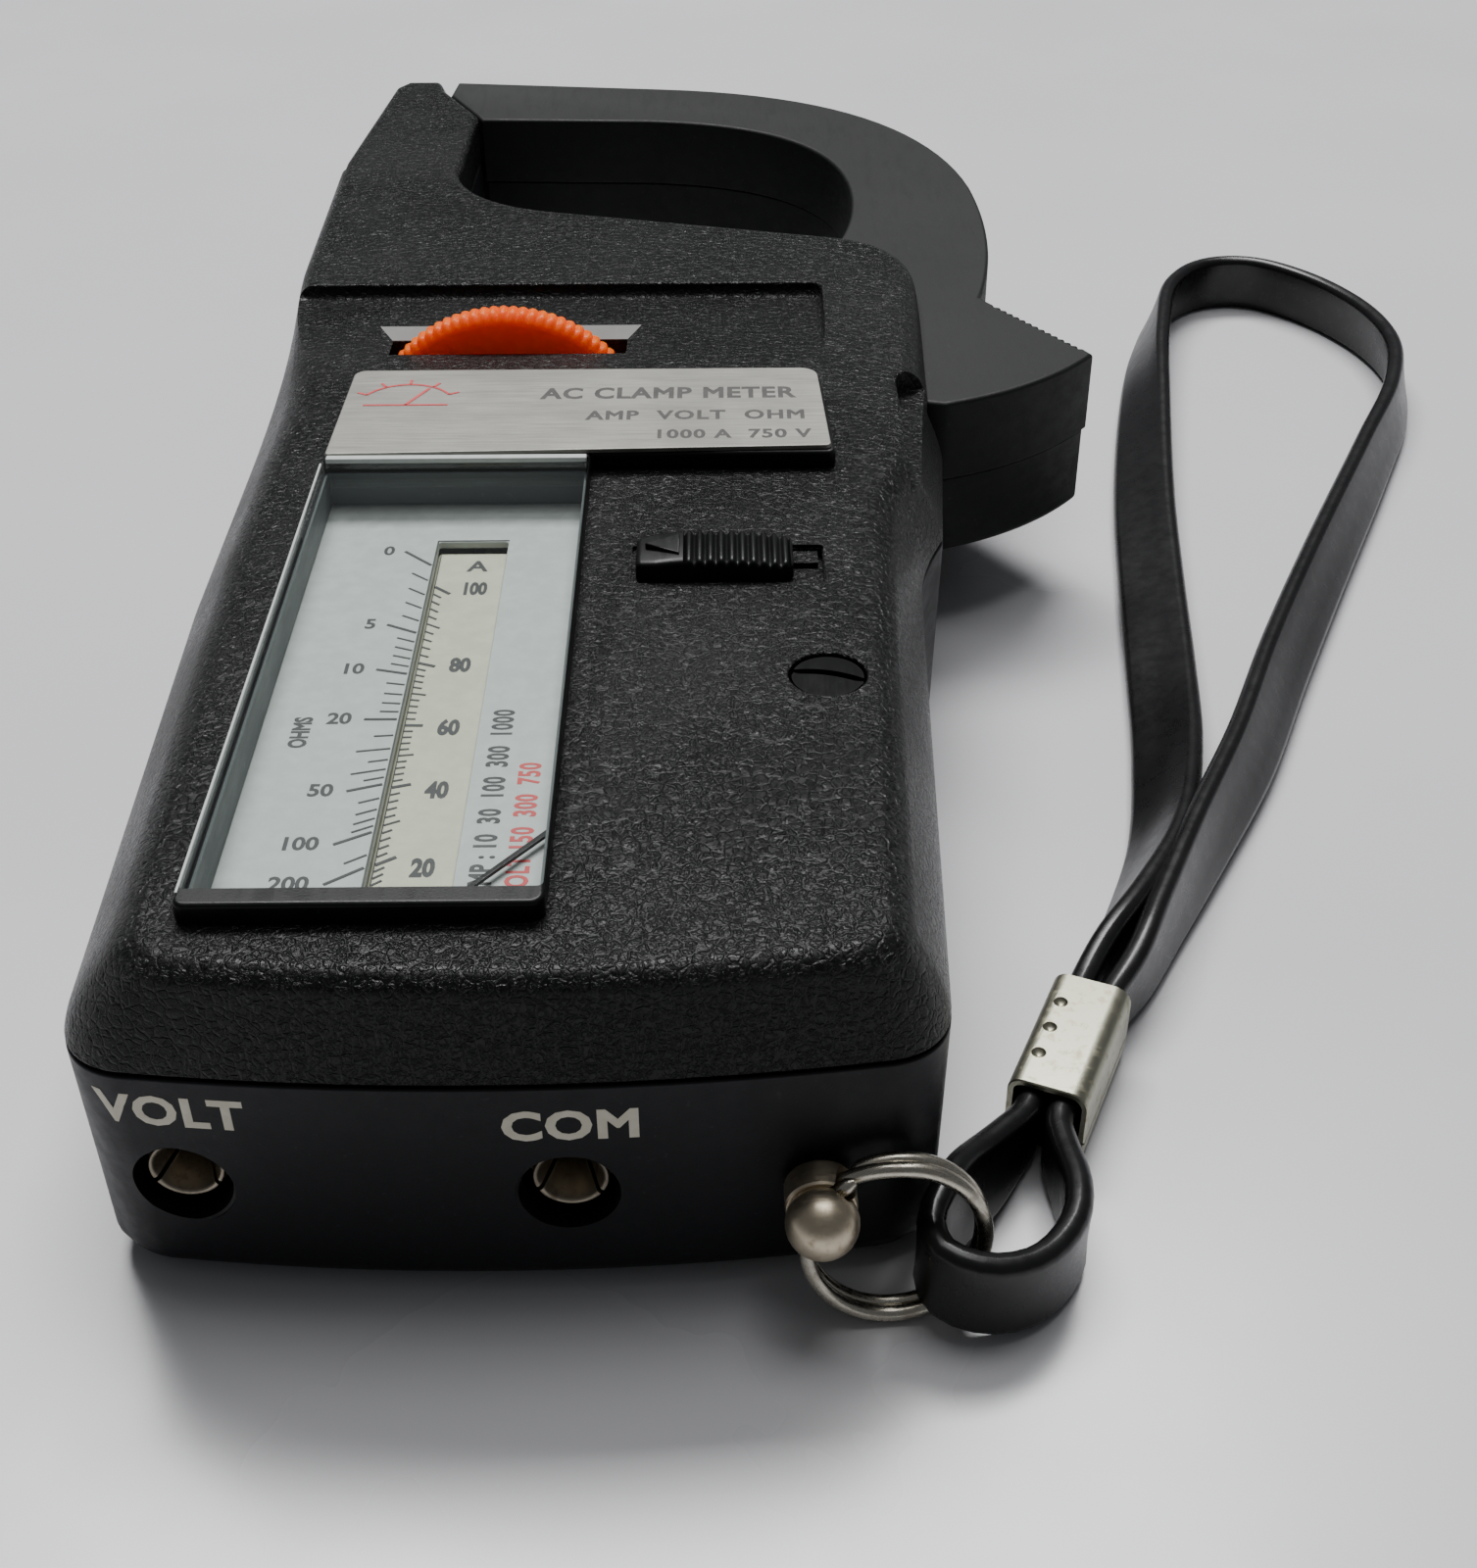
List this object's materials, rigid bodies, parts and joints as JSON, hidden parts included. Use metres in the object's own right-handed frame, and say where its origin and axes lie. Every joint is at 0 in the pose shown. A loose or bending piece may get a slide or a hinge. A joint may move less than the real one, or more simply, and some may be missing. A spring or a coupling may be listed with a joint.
{
  "type": "clamp meter",
  "caption": "Analogue clamp-on meter with hinged hook jaw and trigger, thumbwheel scale drum, needle dial, test-lead jacks and a wrist strap.",
  "frame": {"origin": "on the flat back face, on the centre line near the jack end", "axes": "+Z out of the dial, +Y from the jack end towards the jaws, +X towards the trigger"},
  "size_m": [0.1574, 0.235, 0.0383],
  "materials": {
    "cover_plastic": "leather-grained black",
    "case_plastic": "smooth satin black",
    "jaw_plastic": "matt charcoal",
    "frame_plastic": "gloss black",
    "lens": "clear",
    "silver_foil": "satin silver",
    "dial_white": "matt white",
    "drum_ivory": "matt ivory",
    "orange_plastic": "matt orange",
    "steel": "plain",
    "nickel": "worn nickel plate",
    "brass": "plain",
    "copper_wire": "enamelled winding",
    "soft_iron": "dark laminated iron",
    "board": "phenolic board",
    "cream_plastic": "matt cream",
    "vinyl": "semi-gloss black vinyl"
  },
  "bodies": {
    "case": {"rear_case": "case_plastic", "front_cover": "cover_plastic", "lens_frame": "frame_plastic", "window_lens": "lens", "nameplate": "silver_foil", "dial_plate": "dial_white", "detent_spring": "brass", "shaft_bearing_near": "case_plastic", "shaft_bearing_far": "case_plastic", "switch_stator": "board", "movement_base": "brass", "magnet_yoke": "soft_iron", "magnet_core": "soft_iron", "hair_spring": "brass", "movement_bridge": "brass", "lower_jewel": "brass", "upper_jewel": "brass", "fixed_core": "soft_iron", "transformer_coil": "copper_wire", "jaw_pivot_pin": "steel", "jaw_return_spring": "steel", "circuit_board": "board", "range_resistor_1": "cream_plastic", "range_resistor_2": "cream_plastic", "range_resistor_3": "cream_plastic", "range_resistor_4": "cream_plastic", "case_screw_1": "steel", "case_screw_2": "steel", "case_screw_3": "steel", "case_screw_4": "steel", "jack_socket_volt": "nickel", "jack_socket_com": "nickel", "jack_nut_volt": "brass", "jack_nut_com": "brass", "strap_stud": "nickel"},
    "jaw": {"jaw_front_half": "jaw_plastic", "jaw_rear_half": "jaw_plastic", "moving_core": "soft_iron"},
    "selector": {"thumbwheel": "orange_plastic", "selector_shaft": "steel", "scale_drum": "drum_ivory", "switch_rotor": "cream_plastic", "switch_wiper": "brass", "detent_wheel": "steel"},
    "movement": {"moving_coil": "copper_wire", "coil_shaft": "steel", "pointer": "case_plastic", "pointer_counterweight": "brass"},
    "pointer_lock": {"lock_slider": "frame_plastic", "lock_plate": "steel"},
    "zero_adjust": {"zero_screw": "case_plastic"},
    "strap": {"split_ring": "steel", "crimp_sleeve": "nickel", "wrist_strap": "vinyl"}
  },
  "joints": [
    {"name": "jaw_hinge", "type": "hinge", "parent": "case", "child": "jaw", "pos_m": [0.033, 0.125, 0.02], "axis": [0, 0, 1], "range_deg": [-28, 0], "stiffness_Nm_per_rad": 0.8, "springref_deg": 14.32},
    {"name": "selector_turn", "type": "hinge", "parent": "case", "child": "selector", "pos_m": [-0.0083, 0.1, 0.0212], "axis": [0, 1, 0], "range_deg": [-90, 225]},
    {"name": "needle_swing", "type": "hinge", "parent": "case", "child": "movement", "pos_m": [0.0168, 0.0336, 0.02], "axis": [0, 0, 1], "range_deg": [-94, 0], "stiffness_Nm_per_rad": 0.00002},
    {"name": "needle_lock_slide", "type": "slide", "parent": "case", "child": "pointer_lock", "axis": [1, 0, 0], "range_m": [0, 0.0028]},
    {"name": "zero_screw_turn", "type": "hinge", "parent": "case", "child": "zero_adjust", "pos_m": [0.0265, 0.0356, 0.033], "axis": [0, 0, 1], "range_deg": [-30, 30]},
    {"name": "strap_ring_swing", "type": "hinge", "parent": "case", "child": "strap", "pos_m": [0.0245, -0.0066, 0.0119], "axis": [0, 0, 1], "range_deg": [-24, 0]}
  ]
}
